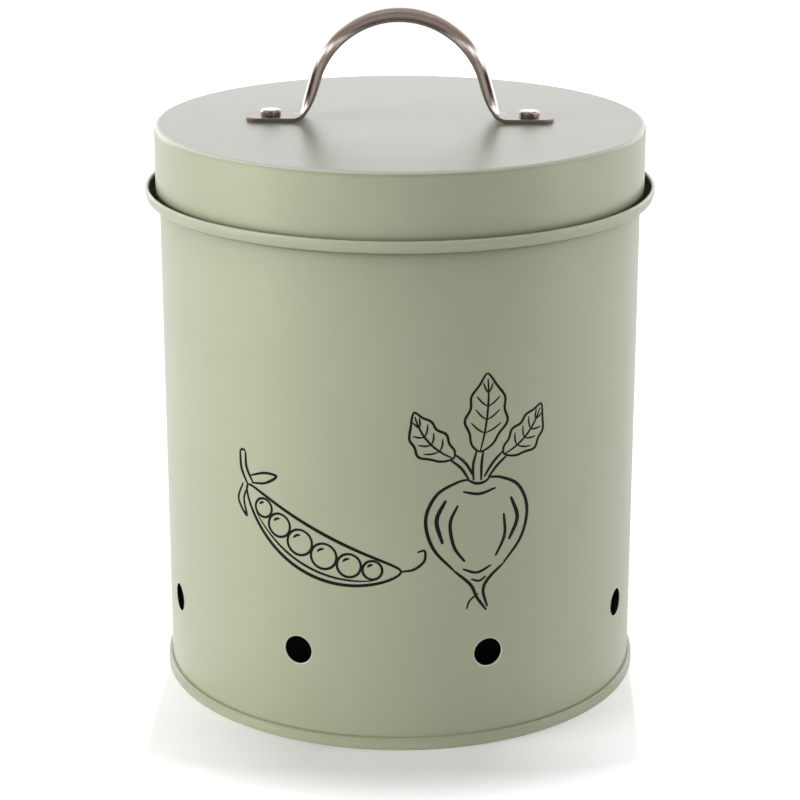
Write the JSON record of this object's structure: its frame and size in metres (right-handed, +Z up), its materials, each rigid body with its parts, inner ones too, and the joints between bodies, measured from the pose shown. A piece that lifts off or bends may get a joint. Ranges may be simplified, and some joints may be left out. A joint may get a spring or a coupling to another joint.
{
  "type": "vegetable storage canister",
  "caption": "Drum-shaped sheet-metal vegetable canister with a lift-off lid, a riveted strap handle, a collar round the mouth and a ring of round vents near the foot.",
  "frame": {"origin": "middle of the foot, on the surface that the canister stands on", "axes": "+Z up, the front at -Y, the handle along X"},
  "size_m": [0.18, 0.18, 0.2421],
  "materials": {
    "sage_coat": "satin powder coat",
    "brushed_strap": "brushed along the strap",
    "rivet_steel": "polished",
    "washer_zinc": "zinc plated"
  },
  "bodies": {
    "canister": {"body_wall": "sage_coat", "base_panel": "sage_coat", "neck_ring": "sage_coat"},
    "lid": {"lid_cap": "sage_coat", "handle_strap": "brushed_strap", "rivet_left": "rivet_steel", "rivet_right": "rivet_steel", "rivet_washer_left": "washer_zinc", "rivet_washer_right": "washer_zinc"}
  },
  "joints": [
    {"name": "lid_lift", "type": "slide", "parent": "canister", "child": "lid", "axis": [0, 0, 1], "range_m": [0, 0.2]}
  ]
}
